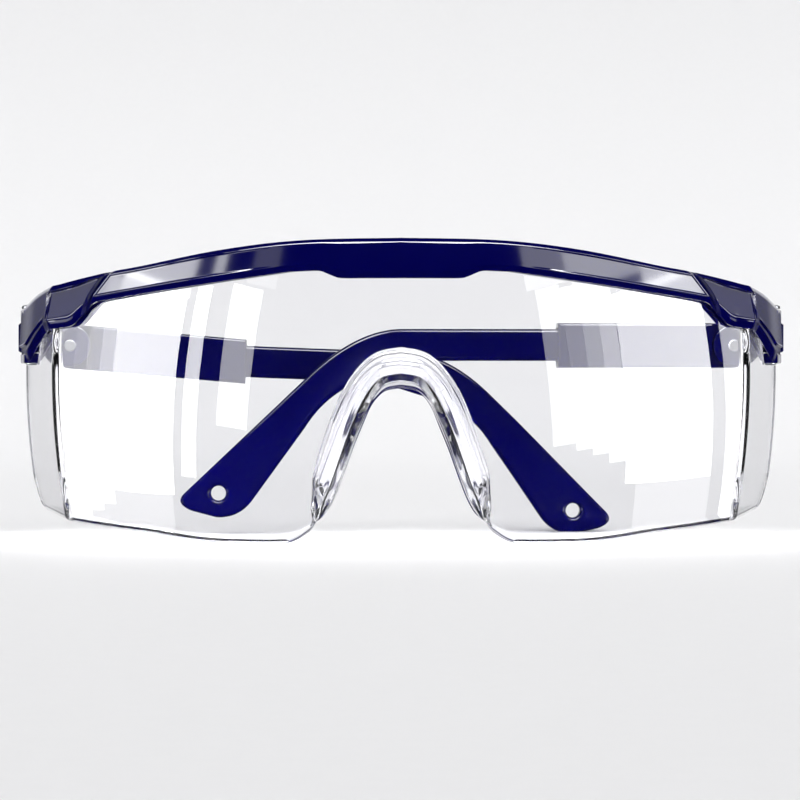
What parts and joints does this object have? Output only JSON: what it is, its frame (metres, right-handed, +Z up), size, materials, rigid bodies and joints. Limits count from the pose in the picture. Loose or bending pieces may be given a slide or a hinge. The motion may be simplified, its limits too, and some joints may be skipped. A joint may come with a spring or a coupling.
{
  "type": "safety glasses",
  "caption": "Wrap-around safety glasses with a clear one-piece lens, side shields, brow frame and folding, tilting, telescoping temples.",
  "frame": {"origin": "middle of the bounding box's underside, where the folded glasses stand on a table", "axes": "+X towards the wearer's left, -Y the way the wearer looks, +Z up"},
  "size_m": [0.1598, 0.0588, 0.0584],
  "materials": {
    "navy_frame": "polished moulded nylon",
    "navy_temple": "polished moulded nylon",
    "clear_lens": "clear polished polycarbonate",
    "steel": "plain turned steel"
  },
  "bodies": {
    "front": {"brow_frame": "navy_frame", "lens": "clear_lens", "left_hinge_pin": "steel", "right_hinge_pin": "steel"},
    "left_hinge": {"left_hinge_block": "navy_frame", "left_tilt_screw": "steel"},
    "left_sleeve": {"left_temple_sleeve": "navy_temple"},
    "left_tip": {"left_temple_tip": "navy_temple"},
    "right_hinge": {"right_hinge_block": "navy_frame", "right_tilt_screw": "steel"},
    "right_sleeve": {"right_temple_sleeve": "navy_temple"},
    "right_tip": {"right_temple_tip": "navy_temple"}
  },
  "joints": [
    {"name": "left_fold", "type": "hinge", "parent": "front", "child": "left_hinge", "pos_m": [0.0765, 0.01881, 0.04027], "axis": [0, 0, -1], "range_deg": [0, 93]},
    {"name": "left_tilt", "type": "hinge", "parent": "left_hinge", "child": "left_sleeve", "pos_m": [0.06801, 0.01836, 0.03862], "axis": [0.0523, -0.9986, 0], "range_deg": [-8, 8]},
    {"name": "left_slide", "type": "slide", "parent": "left_sleeve", "child": "left_tip", "axis": [-0.9986, -0.0523, 0], "range_m": [-0.014, 0.007]},
    {"name": "right_fold", "type": "hinge", "parent": "front", "child": "right_hinge", "pos_m": [-0.0765, 0.01881, 0.04027], "axis": [0, 0, 1], "range_deg": [0, 85.7]},
    {"name": "right_tilt", "type": "hinge", "parent": "right_hinge", "child": "right_sleeve", "pos_m": [-0.06802, 0.01945, 0.03862], "axis": [-0.075, 0.9972, 0], "range_deg": [-10, 6]},
    {"name": "right_slide", "type": "slide", "parent": "right_sleeve", "child": "right_tip", "axis": [0.9966, 0.0749, -0.0349], "range_m": [-0.014, 0.007]}
  ],
  "couplings": [
    {"joint": "left_fold", "follows": "right_fold", "ratio": 0.7}
  ]
}
